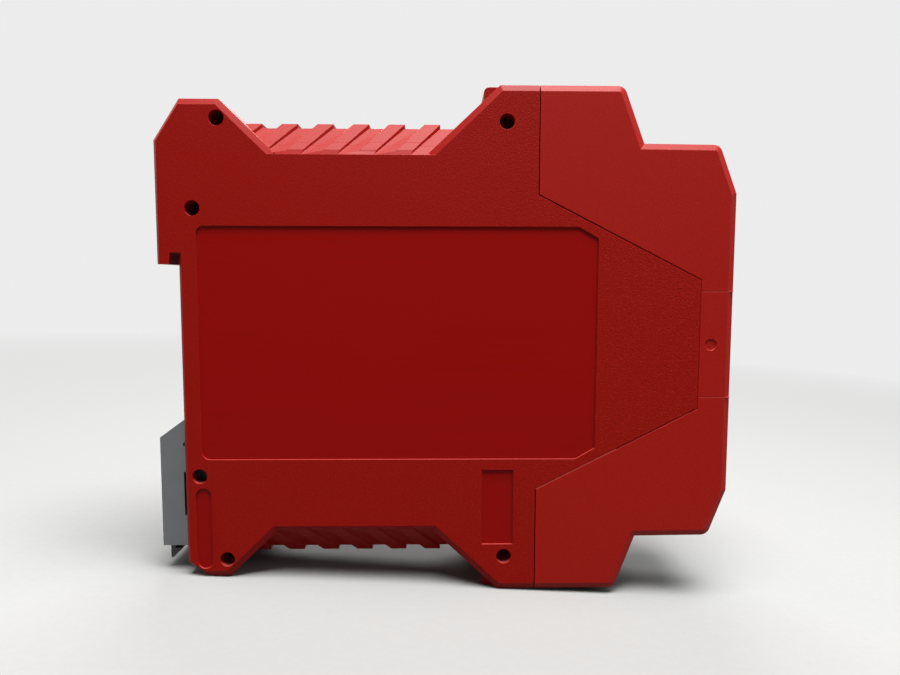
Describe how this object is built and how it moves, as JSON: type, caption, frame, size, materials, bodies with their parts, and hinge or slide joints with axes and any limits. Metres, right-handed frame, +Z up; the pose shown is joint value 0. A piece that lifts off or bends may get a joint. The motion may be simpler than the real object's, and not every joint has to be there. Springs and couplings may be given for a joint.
{
  "type": "safety relay",
  "caption": "Narrow rail-mounted safety relay in a red moulded housing with stepped front, plug-in terminals, ribbed vents and a sprung metal foot catch.",
  "frame": {"origin": "centre of the rail seat: on the seat plane, at mid-height and mid-width of the housing", "axes": "+X to the front, away from the rail; +Z up; Y across the width, with the side plate at -Y"},
  "size_m": [0.1133, 0.0226, 0.099],
  "materials": {
    "side_plate_red": "moulded grain",
    "housing_red": "moulded grain",
    "cover_red": "fine moulded grain",
    "clear_guide": "clear",
    "circuit_board": "solder resist",
    "relay_case": "smooth",
    "winding": "taped winding",
    "capacitor_can": "satin",
    "chip_black": "matt",
    "lamp": "clear",
    "catch_steel": "zinc plated, satin",
    "slider_black": "matt",
    "spring_steel": "bright wire",
    "plug_grey": "fine grain",
    "screw_steel": "plated",
    "clamp_metal": "tinned",
    "header_black": "matt",
    "pin_tin": "tinned"
  },
  "bodies": {
    "housing": {"side_plate": "side_plate_red", "rear_housing": "housing_red", "front_cover": "cover_red", "front_insert": "cover_red", "light_guides": "clear_guide", "main_board": "circuit_board", "relay_upper": "relay_case", "relay_lower": "relay_case", "transformer": "winding", "capacitors": "capacitor_can", "controller_chips": "chip_black", "indicator_board": "circuit_board", "indicator_lamps": "lamp", "catch_spring": "spring_steel", "upper_outer_header": "header_black", "upper_outer_header_pins": "pin_tin", "upper_outer_riser_board": "circuit_board", "upper_inner_header": "header_black", "upper_inner_header_pins": "pin_tin", "upper_inner_riser_board": "circuit_board", "lower_inner_header": "header_black", "lower_inner_header_pins": "pin_tin", "lower_inner_riser_board": "circuit_board", "lower_outer_header": "header_black", "lower_outer_header_pins": "pin_tin", "lower_outer_riser_board": "circuit_board"},
    "upper_outer_terminal": {"upper_outer_plug": "plug_grey", "upper_outer_plug_screws": "screw_steel", "upper_outer_plug_clamps": "clamp_metal"},
    "upper_inner_terminal": {"upper_inner_plug": "plug_grey", "upper_inner_plug_screws": "screw_steel", "upper_inner_plug_clamps": "clamp_metal"},
    "lower_inner_terminal": {"lower_inner_plug": "plug_grey", "lower_inner_plug_screws": "screw_steel", "lower_inner_plug_clamps": "clamp_metal"},
    "lower_outer_terminal": {"lower_outer_plug": "plug_grey", "lower_outer_plug_screws": "screw_steel", "lower_outer_plug_clamps": "clamp_metal"},
    "catch": {"foot_catch": "catch_steel", "catch_slider": "slider_black"}
  },
  "joints": [
    {"name": "upper_outer_terminal_pull", "type": "slide", "parent": "housing", "child": "upper_outer_terminal", "axis": [1, 0, 0], "range_m": [0, 0.016]},
    {"name": "upper_inner_terminal_pull", "type": "slide", "parent": "housing", "child": "upper_inner_terminal", "axis": [1, 0, 0], "range_m": [0, 0.016]},
    {"name": "lower_inner_terminal_pull", "type": "slide", "parent": "housing", "child": "lower_inner_terminal", "axis": [1, 0, 0], "range_m": [0, 0.016]},
    {"name": "lower_outer_terminal_pull", "type": "slide", "parent": "housing", "child": "lower_outer_terminal", "axis": [1, 0, 0], "range_m": [0, 0.016]},
    {"name": "foot_catch_slide", "type": "slide", "parent": "housing", "child": "catch", "axis": [0, 0, -1], "range_m": [0, 0.0044], "stiffness_N_per_m": 900, "springref_m": -0.002, "deforming": ["catch_spring"]}
  ]
}
